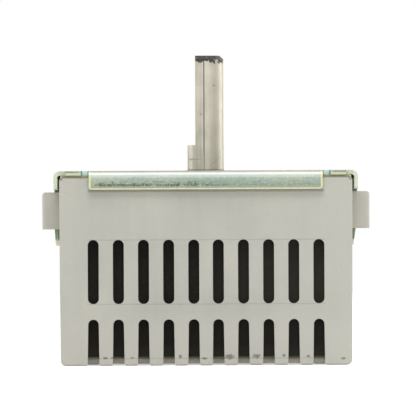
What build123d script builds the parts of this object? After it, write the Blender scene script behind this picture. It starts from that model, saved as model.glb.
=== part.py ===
from build123d import *
import math
import os

# An infinite switch (energy regulator) for a cooker plate.
# Frame: the origin is on the shaft axis, in the top face of the mounting plate.
# +X runs to the right, +Y to the back and +Z up along the shaft.  All sizes are in millimetres.

# Housing: its width, depth and height follow from the mechanism that it holds, further down
housing_wall = 2.0
housing_draft = 0.2
ledge_thickness = 1.5
ledge_reach = 1.0
foot_corner_radius = 1.0
rim_corner_radius = 0.6
outline_radius = 0.4

# Vent slots and the comb below them
slots_per_side = 5
slot_pitch = 4.15
middle_pitch = 4.05
slot_width = 1.81
slot_top_depth = 10.4
slot_length = 10.6
comb_top_width = 1.75
comb_foot_width = 1.93
comb_height = 7.65
rib_end_chamfer = 0.25

# Loops on the ends of the housing, and the pocket that each tongue is bent into
loop_drop = 2.5
loop_height = 6.15
loop_bar = 1.35
loop_leg = 2.0
loop_recess = 0.25
loop_corner_radius = 0.55
tongue_outer_gap = 0.65
tongue_side_gap = 0.5
pocket_floor_gap = 0.35
pocket_end_gap = 1.05

# Mounting plate
plate_thickness = 0.75
strap_gap = 0.25
flange_gap = 0.15
bend_radius = 1.0
inner_bend_radius = 0.25
flange_width = 38.6
flange_drop = 3.1
flange_corner_radius = 0.5
notch_width = 1.25
notch_depth = 1.3
ear_inset = 1.0
ear_setback = 1.0
strap_width = 30.0
tongue_width = 8.0
tongue_tip_length = 2.75
tongue_tip_radius = 2.0
left_tongue_gap = 0.2
left_tongue_bend = 0.15
right_tongue_gap = 0.0
right_tongue_bend = 0.4
screw_hole_spacing = 28.0
tap_hole_radius = 1.65
tap_collar_wall = 0.95
tap_collar_height = 1.4

# Insulating sheet between the plate and the rim
sheet_thickness = 0.25
sheet_margin = 0.4
sheet_hole_clearance = 0.3

# Shaft
shaft_radius = 3.0
shaft_height = 19.2
flat_offset = 1.7
flat_start = 4.3
seat_oversize = 0.02
shaft_tip_chamfer = 0.6
journal_radius = 3.3
journal_rise = 0.1
collar_radius = 5.3
collar_thickness = 1.5
drive_radius = 2.9
drive_flat = 1.9
foot_journal_radius = 2.0
foot_journal_length = 3.9
bearing_clearance = 0.06
rotor_clearance = 0.02

# Friction washer
washer_thickness = 0.3
washer_outer_radius = 5.0

# Cam
control_radius = 7.5
control_drop = 1.5
control_thickness = 4.0
control_rim = 1.0
switch_radius = 6.5
lobe_radius = 8.0
lobe_half_width = 1.6
lobe_root_half_width = 4.0
switch_rise = 2.0
switch_thickness = 5.0
lug_overlap = 0.75
lug_top = 2.9
lug_thickness = 1.7
turn_range = 290.0
stop_play = 0.5
drive_clearance = 0.03
track_overrun = 12.0
cam_points = 18

# Stop tab, lanced from the plate and bent down
stop_width = 3.0
stop_distance = 7.5
stop_drop = 4.4
stop_window = 4.2
stop_side_gap = 0.4

# Base: a dark moulding that stands in the housing and carries the mechanism
base_clearance = 0.3
base_wall = 1.2
base_corner_radius = 1.0
chamber_corner_radius = 0.5
floor_gap = 8.5
floor_over_ledge = 1.0
base_waist = 0.25
base_flare_height = 2.2
bearing_boss_radius = 4.0
boss_height = 2.5
bearing_depth = 4.0
pivot_boss_radius = 1.6

# Control lever
pivot_offset = 3.0
pivot_wall_gap = 0.2
pivot_pin_radius = 1.0
pivot_clearance = 0.05
knuckle_wall = 0.85
lever_standoff = 3.5
lever_thickness = 1.0
lever_tip_margin = 0.6
lever_top = 5.0
lever_arm_height = 4.0
wing_width = 8.1
wing_reach = 3.5
lever_corner_radius = 0.8
clip_thickness = 0.5
clip_wall = 0.9
follower_gap = 0.1

# Calibration screw and the ceramic follower on its end
screw_radius = 1.25
screw_tail = 2.2
screw_boss_radius = 2.0
screw_boss_height = 0.9
thread_clearance = 0.05
screw_slot_width = 0.4
screw_slot_depth = 0.5
follower_radius = 1.5
follower_cap = 1.2

# Lever return spring
spring_x = -6.0
spring_mean_radius = 1.5
spring_wire_radius = 0.22
spring_turns = 4.5
spring_peg_radius = 1.1
spring_peg_length = 1.2
spring_seat_gap = 0.03

# Bimetal strip with its heater
mechanism_level = 13.5
bimetal_thickness = 0.6
bimetal_height = 4.6
bimetal_start_gap = 0.7
bimetal_end_gap = 0.45
flex_gap = 0.15
sleeve_wall = 0.35
sleeve_start_gap = 1.0
sleeve_end_gap = 0.7
ribbon_width = 0.9
ribbon_thickness = 0.15
ribbon_margin = 0.3
ribbon_turns = 10
lead_radius = 0.35
lead_rise = 1.4
button_side_gap = 0.95
button_radius = 0.9
button_gap = 0.1

# Rivets
rivet_radius = 0.6
rivet_head_radius = 1.05
rivet_head_height = 0.45
rivet_spread = 2.8
rivet_clearance = 0.02

# Contacts
contact_radius = 1.5
line_contact_radius = 1.35
contact_height = 0.5
contact_shank_radius = 0.7
contact_tail_height = 0.2
contact_gap = 0.02
contact_tip_margin = 0.35

# Cycling contact arm
arm_thickness = 0.3
arm_height = 5.0
arm_overhang = 2.2
arm_corner_radius = 1.0
arm_gap = 0.12
arm_wall_gap = 0.21

# Line blade, held open by the cam at OFF
blade_thickness = 0.35
blade_height = 6.0
blade_lift_angle = 5.5
blade_slit_width = 0.6
blade_slit_start_x = -8.0
pilot_finger_tip = 2.5
pusher_radius = 1.2
pusher_side_gap = 0.15
pusher_collar_radius = 1.7
pusher_collar_height = 0.8
pusher_gap = 0.05

# Terminals
terminal_thickness = 0.8
terminal_width = 6.3
terminal_x = 15.6
rear_row_gap = 0.55
front_row_inset = 4.5
tab_length = 6.9
tab_recess = 0.8
tab_chamfer = 1.0
tab_hole_radius = 0.85
tab_hole_height = 3.4
terminal_post_rise = 2.9
terminal_shoulder = 0.7
terminal_shoulder_height = 0.8
terminal_slot_clearance = 0.05

# Terminal wells in the base, and the card under it
card_thickness = 0.8
card_inset = 0.15
card_recess = 0.3
well_floor = 2.5
well_side_gap = 0.85
well_depth = 5.2
peg_radius = 0.9
peg_inset = 2.0
peg_clearance = 0.05

# How close two places are when they count as the same
same_place = 0.01

# Levels, from the plate down to the housing's foot
rim_z = -plate_thickness - sheet_thickness
collar_top_z = -plate_thickness - washer_thickness - rotor_clearance
cam_top_z = collar_top_z - collar_thickness
lever_level_z = -lever_top - lever_arm_height / 2
level_z = -mechanism_level
floor_top_z = level_z - floor_gap
ledge_top_z = floor_top_z - floor_over_ledge
boss_top_z = floor_top_z + boss_height
cam_bottom_z = boss_top_z + rotor_clearance
bearing_bottom_z = boss_top_z - bearing_depth
well_top_z = floor_top_z - well_floor
tab_tip_z = well_top_z - tab_length
foot_z = tab_tip_z - tab_recess
card_top_z = foot_z + card_recess + card_thickness
base_flare_z = card_top_z + base_flare_height
post_top_z = level_z + terminal_post_rise

# Depths of the rear mechanism, from the cam back through the lever to the contact arm
pivot_y = control_radius + lever_standoff
lever_front_y = pivot_y - lever_thickness / 2
lever_back_y = pivot_y + lever_thickness / 2
bimetal_front_y = lever_back_y + flex_gap
bimetal_back_y = bimetal_front_y + bimetal_thickness
rear_post_front_y = bimetal_back_y + rear_row_gap
rear_row_y = rear_post_front_y + terminal_thickness / 2
rear_post_back_y = rear_post_front_y + terminal_thickness
arm_front_y = rear_post_back_y + 2 * contact_height + contact_gap
arm_back_y = arm_front_y + arm_thickness
arm_post_front_y = arm_back_y + arm_gap
arm_post_back_y = arm_post_front_y + terminal_thickness

# Places across the width
knuckle_radius = pivot_pin_radius + pivot_clearance + knuckle_wall
pivot_x = -terminal_x - pivot_offset
wing_end_x = pivot_x + wing_width
lever_tip_x = screw_boss_radius + lever_tip_margin
bimetal_start_x = pivot_x + knuckle_radius + bimetal_start_gap
bimetal_end_x = terminal_x - terminal_width / 2 - bimetal_end_gap
button_x = terminal_x - terminal_width / 2 - button_side_gap - button_radius
sleeve_start_x = wing_end_x + sleeve_start_gap
sleeve_end_x = button_x - button_radius - sleeve_end_gap
ribbon_pitch = (sleeve_end_x - sleeve_start_x - ribbon_width - 2 * ribbon_margin) / ribbon_turns
pilot_x = pusher_radius + pusher_side_gap + terminal_width / 2
pilot_finger_end_x = pilot_x + pilot_finger_tip

# The base holds the mechanism, and the housing holds the base
chamber_half_x = -pivot_x + knuckle_radius + pivot_wall_gap
chamber_half_y = arm_post_back_y + rivet_head_height + arm_wall_gap
base_half_x = chamber_half_x + base_wall
base_half_y = chamber_half_y + base_wall
block_half_x = base_half_x - ledge_reach
block_half_y = base_half_y - ledge_reach
inner_half_x = base_half_x + base_clearance
inner_half_y = base_half_y + base_clearance
housing_width = 2 * (inner_half_x + housing_wall)
housing_depth = 2 * (inner_half_y + housing_wall)
housing_height = rim_z - foot_z
well_width = terminal_width + 2 * well_side_gap

# The plate folds down over the housing, and its tongues go through the loops
plate_width = housing_width + 2 * (strap_gap + plate_thickness)
plate_depth = housing_depth + 2 * (flange_gap + plate_thickness)
ear_reach = housing_width / 2 - ear_inset
loop_top_z = rim_z - loop_drop
loop_bottom_z = loop_top_z - loop_height
loop_reach = strap_gap + plate_thickness + tongue_outer_gap + loop_bar
loop_opening = tongue_width + 2 * tongue_side_gap
tongue_knee_x = housing_width / 2 + plate_thickness
tongue_tip_z = loop_bottom_z - tongue_tip_length
pocket_depth = right_tongue_bend + pocket_floor_gap
pocket_height = tongue_tip_length + pocket_end_gap

# Radii of the cam
hub_radius = control_radius - control_drop - control_rim
lug_radius = stop_distance + plate_thickness + lug_overlap
switch_top_z = level_z + switch_rise

# Depths of the line pole at the front
front_row_y = front_row_inset - chamber_half_y
front_post_front_y = front_row_y - terminal_thickness / 2
front_post_back_y = front_row_y + terminal_thickness / 2
blade_bend_x = -terminal_x + terminal_width / 2
blade_tip_x = terminal_x + contact_radius + contact_tip_margin
blade_slope = math.tan(math.radians(blade_lift_angle))

# Angles of the rotor: clockwise from above is forward, and the part is modelled at OFF
stop_half_angle = math.degrees(math.atan2(stop_width / 2, stop_distance))
lug_angle = 360 - turn_range - 2 * stop_half_angle - 2 * stop_play
lug_end_angle = 90 - stop_half_angle - stop_play
lever_swing = math.degrees(math.asin(control_drop / -pivot_x))

slot_columns = [
    side * (middle_pitch / 2 + index * slot_pitch)
    for side in (-1, 1)
    for index in range(slots_per_side)
]
terminal_places = [
    (-terminal_x, rear_row_y),
    (terminal_x, rear_row_y),
    (-terminal_x, front_row_y),
    (terminal_x, front_row_y),
    (pilot_x, front_row_y),
]
bimetal_rivet_columns = [
    (bimetal_start_x + wing_end_x) / 2 - rivet_spread / 2,
    (bimetal_start_x + wing_end_x) / 2 + rivet_spread / 2,
]
root_rivet_columns = [
    -terminal_x - rivet_spread / 2,
    -terminal_x + rivet_spread / 2,
]


def standing(depth):
    """A plane across the switch at this depth, drawn in X and Z. A minus extrude goes to the back."""
    return Plane.XZ.offset(-depth)


def add_rivet(x, z, front, back, head_radius, front_head, back_head, shank_radius):
    """A rivet along Y that clamps what lies between two depths, with a head at each end."""
    middle = (front + back) / 2
    length = back - front
    with Locations((x, middle, z)):
        Cylinder(shank_radius, length, rotation=(90, 0, 0))
    with Locations((x, front - front_head / 2, z)):
        Cylinder(head_radius, front_head, rotation=(90, 0, 0))
    with Locations((x, back + back_head / 2, z)):
        Cylinder(head_radius, back_head, rotation=(90, 0, 0))


def terminal_outline(x, hole_columns, hole_radius):
    """The flat blank of a terminal: a post above the floor, shoulders on it and a tab below."""
    with Locations((x, (post_top_z + floor_top_z) / 2)):
        Rectangle(terminal_width, post_top_z - floor_top_z)
    with Locations((x, floor_top_z + terminal_shoulder_height / 2)):
        Rectangle(terminal_width + 2 * terminal_shoulder, terminal_shoulder_height)
    for column in hole_columns:
        with Locations((column, level_z)):
            Circle(hole_radius, mode=Mode.SUBTRACT)


def tab_outline(x, top):
    """The part of a terminal below the floor, with its chamfered end and its catch hole."""
    half = terminal_width / 2
    Polygon(
        (x - half, top),
        (x - half, tab_tip_z + tab_chamfer),
        (x - half + tab_chamfer, tab_tip_z),
        (x + half - tab_chamfer, tab_tip_z),
        (x + half, tab_tip_z + tab_chamfer),
        (x + half, top),
        align=None,
    )
    with Locations((x, tab_tip_z + tab_hole_height)):
        Circle(tab_hole_radius, mode=Mode.SUBTRACT)


# Housing: a moulded box, open at the top, with vents, a comb skirt and a loop on each end
with BuildPart() as housing:
    rim_half_x = housing_width / 2
    foot_half_x = rim_half_x - housing_height * math.tan(math.radians(housing_draft))
    with BuildSketch(Plane.XZ) as outline:
        Polygon(
            (-rim_half_x, rim_z),
            (rim_half_x, rim_z),
            (foot_half_x, foot_z),
            (-foot_half_x, foot_z),
            align=None,
        )
        fillet(outline.vertices().group_by(Axis.Y)[-1], rim_corner_radius)
        fillet(outline.vertices().group_by(Axis.Y)[0], foot_corner_radius)
    extrude(amount=housing_depth / 2, both=True)
    fillet(housing.faces().sort_by(Axis.Y)[0].edges(), outline_radius)
    fillet(housing.faces().sort_by(Axis.Y)[-1].edges(), outline_radius)
    # the bore for the base, with a ledge all round that its shoulder stands on
    with BuildSketch(Plane.XY.offset(rim_z)):
        Rectangle(2 * inner_half_x, 2 * inner_half_y)
    extrude(amount=ledge_top_z - rim_z, mode=Mode.SUBTRACT)
    with BuildSketch(Plane.XY.offset(ledge_top_z)):
        Rectangle(2 * (inner_half_x - ledge_reach), 2 * (inner_half_y - ledge_reach))
    extrude(amount=-ledge_thickness, mode=Mode.SUBTRACT)
    with BuildSketch(Plane.XY.offset(ledge_top_z - ledge_thickness)):
        Rectangle(2 * inner_half_x, 2 * inner_half_y)
    extrude(amount=foot_z - ledge_top_z + ledge_thickness, mode=Mode.SUBTRACT)
    # closed vent slots, through the front and the back wall
    slot_middle_z = rim_z - slot_top_depth - slot_length / 2
    with BuildSketch(Plane.XZ):
        with Locations([(x, slot_middle_z) for x in slot_columns]):
            SlotOverall(slot_length, slot_width, rotation=90)
    extrude(amount=housing_depth, both=True, mode=Mode.SUBTRACT)
    # open slots of the comb, with round tops and eased rib ends
    for column in slot_columns:
        with BuildSketch(Plane.XZ):
            with BuildLine():
                crown = foot_z + comb_height
                shoulder = crown - comb_top_width / 2
                heel = foot_z + rib_end_chamfer
                below = foot_z - housing_wall
                near = comb_foot_width / 2
                far = near + rib_end_chamfer
                half_top = comb_top_width / 2
                Line((column - far, below), (column - far, foot_z))
                Line((column - far, foot_z), (column - near, heel))
                Line((column - near, heel), (column - half_top, shoulder))
                ThreePointArc(
                    (column - half_top, shoulder), (column, crown), (column + half_top, shoulder)
                )
                Line((column + half_top, shoulder), (column + near, heel))
                Line((column + near, heel), (column + far, foot_z))
                Line((column + far, foot_z), (column + far, below))
                Line((column + far, below), (column - far, below))
            make_face()
        extrude(amount=housing_depth, both=True, mode=Mode.SUBTRACT)
    # loops that the plate's tongues pass through, and the pockets below them
    for side in (-1, 1):
        end_x = side * housing_width / 2
        reach = side * (housing_width / 2 + loop_reach)
        with BuildPart(mode=Mode.PRIVATE) as loop:
            with BuildSketch(Plane.XY.offset(loop_top_z)):
                with Locations(((end_x + reach) / 2 - side * loop_recess, 0)):
                    Rectangle(loop_reach + 2 * loop_recess, loop_opening + 2 * loop_leg)
            extrude(amount=-loop_height)
            outer = loop.faces().sort_by(Axis.X)[0 if side < 0 else -1]
            fillet(outer.edges().sort_by(Axis.Z)[1:], loop_corner_radius)
        add(loop.part)
        inner_edge = end_x - side * loop_recess
        outer_edge = reach - side * loop_bar
        with BuildSketch(Plane.XY.offset(loop_top_z)):
            with Locations(((inner_edge + outer_edge) / 2, 0)):
                Rectangle(abs(outer_edge - inner_edge), loop_opening)
        extrude(amount=-loop_height, mode=Mode.SUBTRACT)
        with Locations((end_x, 0, loop_bottom_z - pocket_height / 2)):
            Box(2 * pocket_depth, loop_opening, pocket_height, mode=Mode.SUBTRACT)
housing.part.label = "housing"

# Mounting plate: one folded sheet with two flanges, two straps with tongues and a lanced stop tab
with BuildPart() as mounting_plate:
    flat_half_y = plate_depth / 2 - ear_setback
    with BuildSketch():
        Rectangle(2 * ear_reach, 2 * flat_half_y)
    extrude(amount=-plate_thickness)
    for across, span, run in ((Plane.XZ, plate_width, strap_width), (Plane.YZ, plate_depth, flange_width)):
        with BuildSketch(across) as channel:
            with Locations((0, -flange_drop / 2)):
                Rectangle(span, flange_drop)
            fillet(channel.vertices().group_by(Axis.Y)[-1], bend_radius)
            with Locations((0, -(plate_thickness + flange_drop) / 2)):
                Rectangle(
                    span - 2 * plate_thickness, flange_drop - plate_thickness, mode=Mode.SUBTRACT
                )
            inner_corners = channel.vertices().filter_by_position(
                Axis.Y, -plate_thickness - same_place, -plate_thickness + same_place
            )
            fillet(inner_corners, inner_bend_radius)
        extrude(amount=run / 2, both=True)
    corner_edges = mounting_plate.edges().filter_by(
        lambda edge: abs(edge.length - plate_thickness) < same_place
        and edge.center().Z < same_place - flange_drop
    )
    fillet(corner_edges, flange_corner_radius)
    # relief notches beside the flanges
    with BuildSketch():
        with GridLocations(flange_width + notch_width, 2 * (flat_half_y - notch_depth / 2), 2, 2):
            Rectangle(notch_width, notch_depth)
    extrude(amount=-plate_thickness, mode=Mode.SUBTRACT)
    # tongues with round-cornered ends, bent in below the loops; the right one is bent in further
    for side, gap, bend in (
        (-1, left_tongue_gap, left_tongue_bend),
        (1, right_tongue_gap, right_tongue_bend),
    ):
        outer_x = side * plate_width / 2
        knee_x = side * (tongue_knee_x + gap)
        tip_x = side * (tongue_knee_x + gap - bend)
        inward = -side * plate_thickness
        start = -flange_drop + bend_radius
        with BuildPart(mode=Mode.PRIVATE) as tongue:
            with BuildSketch(Plane.XZ):
                with BuildLine():
                    Polyline(
                        (outer_x, start),
                        (outer_x, -flange_drop),
                        (knee_x, loop_bottom_z),
                        (tip_x, tongue_tip_z),
                        (tip_x + inward, tongue_tip_z),
                        (knee_x + inward, loop_bottom_z),
                        (outer_x + inward, -flange_drop),
                        (outer_x + inward, start),
                        close=True,
                    )
                make_face()
            extrude(amount=tongue_width / 2, both=True)
            with BuildSketch(Plane.YZ) as tongue_face:
                with Locations((0, (start + tongue_tip_z) / 2)):
                    Rectangle(tongue_width, start - tongue_tip_z)
                fillet(tongue_face.vertices().group_by(Axis.Y)[0], tongue_tip_radius)
            extrude(amount=plate_width, both=True, mode=Mode.INTERSECT)
        add(tongue.part)
    # stop tab with the window that it was lanced from
    with BuildSketch():
        with Locations((0, stop_distance + plate_thickness + stop_window / 2)):
            Rectangle(stop_width + 2 * stop_side_gap, stop_window)
    extrude(amount=-plate_thickness, mode=Mode.SUBTRACT)
    with BuildSketch(Plane.YZ):
        with Locations((stop_distance + plate_thickness / 2, -stop_drop / 2)):
            Rectangle(plate_thickness, stop_drop)
    extrude(amount=stop_width / 2, both=True)
    # shaft hole, and two screw holes with drawn collars
    Hole(journal_radius + bearing_clearance)
    with Locations(
        (-screw_hole_spacing / 2, 0, -plate_thickness - tap_collar_height / 2),
        (screw_hole_spacing / 2, 0, -plate_thickness - tap_collar_height / 2),
    ):
        Cylinder(tap_hole_radius + tap_collar_wall, tap_collar_height)
    with BuildSketch():
        with Locations((-screw_hole_spacing / 2, 0), (screw_hole_spacing / 2, 0)):
            Circle(tap_hole_radius)
    extrude(amount=-plate_thickness - tap_collar_height, mode=Mode.SUBTRACT)
mounting_plate.part.label = "mounting_plate"

# Insulating sheet: pressed board, clamped between the rim and the plate
with BuildPart() as insulating_sheet:
    with BuildSketch(Plane.XY.offset(-plate_thickness)):
        Rectangle(housing_width - 2 * sheet_margin, housing_depth - 2 * sheet_margin)
        Circle(collar_radius + sheet_hole_clearance, mode=Mode.SUBTRACT)
        with Locations((-screw_hole_spacing / 2, 0), (screw_hole_spacing / 2, 0)):
            Circle(tap_hole_radius + tap_collar_wall + sheet_hole_clearance, mode=Mode.SUBTRACT)
        with Locations((0, stop_distance + plate_thickness / 2)):
            Rectangle(
                stop_width + 2 * sheet_hole_clearance,
                plate_thickness + 2 * sheet_hole_clearance,
                mode=Mode.SUBTRACT,
            )
    extrude(amount=-sheet_thickness)
insulating_sheet.part.label = "insulating_sheet"

# Shaft: a die casting with a flat for the knob, a bearing journal, a collar and a driving end
with BuildPart() as shaft:
    # the end that the knob slides on, drawn from the side of its flat
    with BuildSketch(Plane(origin=(0, 0, flat_start), x_dir=(-1, 0, 0), z_dir=(0, 0, 1))):
        Circle(shaft_radius)
        with Locations((flat_offset + shaft_radius, 0)):
            Rectangle(2 * shaft_radius, 2 * shaft_radius, mode=Mode.SUBTRACT)
    extrude(amount=shaft_height - flat_start)
    chamfer(shaft.faces().sort_by(Axis.Z)[-1].edges().filter_by(GeomType.CIRCLE), shaft_tip_chamfer)
    # the round seat below it, left a little oversize
    with BuildSketch(Plane.XY.offset(journal_rise)):
        Circle(shaft_radius + seat_oversize)
    extrude(amount=flat_start - journal_rise)
    with BuildSketch(Plane.XY.offset(journal_rise)):
        Circle(journal_radius)
    extrude(amount=collar_top_z - journal_rise)
    with BuildSketch(Plane.XY.offset(collar_top_z)):
        Circle(collar_radius)
    extrude(amount=-collar_thickness)
    with BuildSketch(Plane.XY.offset(cam_top_z)):
        Circle(drive_radius)
        with Locations((-drive_flat - drive_radius, 0)):
            Rectangle(2 * drive_radius, 2 * drive_radius, mode=Mode.SUBTRACT)
    extrude(amount=cam_bottom_z - cam_top_z)
    with BuildSketch(Plane.XY.offset(cam_bottom_z)):
        Circle(foot_journal_radius)
    extrude(amount=-foot_journal_length)
shaft.part.label = "shaft"

# Friction washer between the collar and the plate
with BuildPart() as friction_washer:
    with BuildSketch(Plane.XY.offset(-plate_thickness)):
        Circle(washer_outer_radius)
        Circle(journal_radius + bearing_clearance, mode=Mode.SUBTRACT)
    extrude(amount=-washer_thickness)
friction_washer.part.label = "friction_washer"

# Cam: a moulded rotor with a spiral track, a switch lobe and a stop lug
with BuildPart() as cam:
    with BuildSketch(Plane.XY.offset(cam_top_z)):
        Circle(hub_radius)
    extrude(amount=cam_bottom_z - cam_top_z)
    with BuildSketch(Plane.XY.offset(-lever_top)):
        with BuildLine():
            track = []
            for index in range(cam_points + 1):
                turned = (turn_range + 2 * track_overrun) * index / cam_points - track_overrun
                share = min(max(turned / turn_range, 0), 1)
                radius = control_radius + pivot_x * math.sin(math.radians(lever_swing * share))
                angle = math.radians(90 + turned)
                track.append((radius * math.cos(angle), radius * math.sin(angle)))
            leave_angle = math.radians(90 + turn_range + track_overrun)
            meet_angle = math.radians(90 - track_overrun)
            Spline(*track)
            Spline(
                track[-1],
                track[0],
                tangents=[
                    (-math.sin(leave_angle), math.cos(leave_angle)),
                    (-math.sin(meet_angle), math.cos(meet_angle)),
                ],
            )
        make_face()
    extrude(amount=-control_thickness)
    with BuildSketch(Plane.XY.offset(switch_top_z)):
        Circle(switch_radius)
        with BuildLine():
            root = -math.sqrt(switch_radius**2 - lobe_root_half_width**2)
            crest = -math.sqrt(lobe_radius**2 - lobe_half_width**2)
            Line((-lobe_root_half_width, root), (-lobe_half_width, crest))
            RadiusArc((-lobe_half_width, crest), (lobe_half_width, crest), -lobe_radius)
            Line((lobe_half_width, crest), (lobe_root_half_width, root))
            Line((lobe_root_half_width, root), (-lobe_root_half_width, root))
        make_face()
    extrude(amount=-switch_thickness)
    with BuildSketch(Plane.XY.offset(-lug_top)):
        with BuildLine():
            first = math.radians(lug_end_angle - lug_angle)
            last = math.radians(lug_end_angle)
            middle = (first + last) / 2
            corner_first = (lug_radius * math.cos(first), lug_radius * math.sin(first))
            corner_last = (lug_radius * math.cos(last), lug_radius * math.sin(last))
            Line((0, 0), corner_first)
            ThreePointArc(
                corner_first,
                (lug_radius * math.cos(middle), lug_radius * math.sin(middle)),
                corner_last,
            )
            Line(corner_last, (0, 0))
        make_face()
    extrude(amount=-lug_thickness)
    bore = drive_radius + drive_clearance
    with BuildSketch(Plane.XY.offset(cam_top_z)):
        Circle(bore)
        with Locations((-drive_flat - drive_clearance - bore, 0)):
            Rectangle(2 * bore, 2 * bore, mode=Mode.SUBTRACT)
    extrude(amount=cam_bottom_z - cam_top_z, mode=Mode.SUBTRACT)
cam.part.label = "cam"

# Pin that the control lever turns on, pressed into the floor, with its clip
with BuildPart() as lever_pivot_pin:
    with BuildSketch(Plane.XY.offset(bearing_bottom_z)):
        with Locations((pivot_x, pivot_y)):
            Circle(pivot_pin_radius)
    extrude(amount=lever_level_z + lever_arm_height - bearing_bottom_z)
lever_pivot_pin.part.label = "lever_pivot_pin"

knuckle_top_z = -lever_top
with BuildPart() as pivot_clip:
    with BuildSketch(Plane.XY.offset(knuckle_top_z + pivot_clearance)):
        with Locations((pivot_x, pivot_y)):
            Circle(pivot_pin_radius + clip_wall)
            Circle(pivot_pin_radius + rivet_clearance, mode=Mode.SUBTRACT)
    extrude(amount=clip_thickness)
pivot_clip.part.label = "pivot_clip"

# Control lever: a knuckle on the pin, an arm over the cam and a wing that carries the bimetal
with BuildPart() as control_lever:
    with BuildSketch(standing(lever_front_y)) as blank:
        with BuildLine():
            Polyline(
                (pivot_x, -lever_top),
                (lever_tip_x, -lever_top),
                (lever_tip_x, -lever_top - lever_arm_height),
                (wing_end_x, -lever_top - lever_arm_height),
                (wing_end_x, level_z - wing_reach),
                (pivot_x, level_z - wing_reach),
                close=True,
            )
        make_face()
        fillet(blank.vertices().filter_by(lambda point: point.X > wing_end_x - flex_gap), lever_corner_radius)
    extrude(amount=-lever_thickness)
    with BuildSketch(standing(lever_back_y)):
        with Locations((0, lever_level_z)):
            Circle(screw_boss_radius)
    extrude(amount=-screw_boss_height)
    with BuildSketch(standing(lever_front_y)):
        with Locations((0, lever_level_z)):
            Circle(screw_radius + thread_clearance)
    extrude(amount=-lever_thickness - screw_boss_height, mode=Mode.SUBTRACT)
    with BuildSketch(standing(lever_front_y)):
        with Locations([(x, level_z) for x in bimetal_rivet_columns]):
            Circle(rivet_radius + rivet_clearance)
    extrude(amount=-lever_thickness, mode=Mode.SUBTRACT)
    with BuildSketch(Plane.XY.offset(knuckle_top_z)):
        with Locations((pivot_x, pivot_y)):
            Circle(knuckle_radius)
    extrude(amount=boss_top_z + pivot_clearance - knuckle_top_z)
    with BuildSketch(Plane.XY.offset(knuckle_top_z)):
        with Locations((pivot_x, pivot_y)):
            Circle(pivot_pin_radius + pivot_clearance)
    extrude(amount=boss_top_z + pivot_clearance - knuckle_top_z, mode=Mode.SUBTRACT)
control_lever.part.label = "control_lever"

# Calibration screw through the lever, with a slot at the back
follower_front_y = control_radius + follower_gap
screw_front_y = follower_front_y + follower_cap
screw_back_y = lever_back_y + screw_boss_height + screw_tail
with BuildPart() as calibration_screw:
    with BuildSketch(standing(screw_front_y)):
        with Locations((0, lever_level_z)):
            Circle(screw_radius)
    extrude(amount=screw_front_y - screw_back_y)
    with BuildSketch(standing(screw_back_y)):
        with Locations((0, lever_level_z)):
            Rectangle(2 * screw_boss_radius, screw_slot_width)
    extrude(amount=screw_slot_depth, mode=Mode.SUBTRACT)
calibration_screw.part.label = "calibration_screw"

# Cam follower: a round-nosed ceramic cap that fits over the front end of the screw
with BuildPart() as cam_follower:
    cap_back_y = lever_front_y - flex_gap
    cap_bend_y = follower_front_y + follower_radius
    with BuildSketch(Plane.XY.offset(lever_level_z - follower_radius)):
        with BuildLine():
            RadiusArc((-follower_radius, cap_bend_y), (follower_radius, cap_bend_y), -follower_radius)
            Line((follower_radius, cap_bend_y), (follower_radius, cap_back_y))
            Line((follower_radius, cap_back_y), (-follower_radius, cap_back_y))
            Line((-follower_radius, cap_back_y), (-follower_radius, cap_bend_y))
        make_face()
    extrude(amount=2 * follower_radius)
    with BuildSketch(standing(screw_front_y)):
        with Locations((0, lever_level_z)):
            Circle(screw_radius + rivet_clearance)
    extrude(amount=screw_front_y - cap_back_y, mode=Mode.SUBTRACT)
cam_follower.part.label = "cam_follower"

# Return spring: a compression coil from the back wall to the lever
with BuildPart() as lever_spring:
    spring_front_y = lever_back_y + spring_wire_radius + spring_seat_gap
    spring_back_y = chamber_half_y - spring_wire_radius - spring_seat_gap
    spring_length = spring_back_y - spring_front_y
    with BuildLine():
        coil = Helix(
            pitch=spring_length / spring_turns,
            height=spring_length,
            radius=spring_mean_radius,
            center=(spring_x, spring_front_y, lever_level_z),
            direction=(0, 1, 0),
        )
    with BuildSketch(Plane(origin=coil @ 0, z_dir=coil % 0)):
        RegularPolygon(spring_wire_radius, 6)
    sweep(is_frenet=True)
lever_spring.part.label = "lever_spring"

# Bimetal strip, riveted to the wing of the lever
with BuildPart() as bimetal_strip:
    with BuildSketch(standing(bimetal_front_y)):
        with Locations(((bimetal_start_x + bimetal_end_x) / 2, level_z)):
            Rectangle(bimetal_end_x - bimetal_start_x, bimetal_height)
        with Locations([(x, level_z) for x in bimetal_rivet_columns]):
            Circle(rivet_radius + flex_gap, mode=Mode.SUBTRACT)
    extrude(amount=-bimetal_thickness)
bimetal_strip.part.label = "bimetal_strip"

with BuildPart() as bimetal_rivets:
    for column in bimetal_rivet_columns:
        add_rivet(
            column,
            level_z,
            lever_front_y,
            bimetal_back_y + flex_gap,
            rivet_head_radius,
            rivet_head_height,
            rivet_head_height,
            rivet_radius,
        )
bimetal_rivets.part.label = "bimetal_rivets"

# Heater: a sleeve of woven glass and mica over the strip, and a ribbon wound on it
with BuildPart() as heater_sleeve:
    middle_y = (bimetal_front_y + bimetal_back_y) / 2
    with BuildSketch(Plane.YZ.offset(sleeve_start_x)):
        with Locations((middle_y, level_z)):
            RectangleRounded(
                bimetal_thickness + 2 * sleeve_wall, bimetal_height + 2 * sleeve_wall, sleeve_wall / 2
            )
            Rectangle(bimetal_thickness, bimetal_height, mode=Mode.SUBTRACT)
    extrude(amount=sleeve_end_x - sleeve_start_x)
heater_sleeve.part.label = "heater_sleeve"

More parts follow.
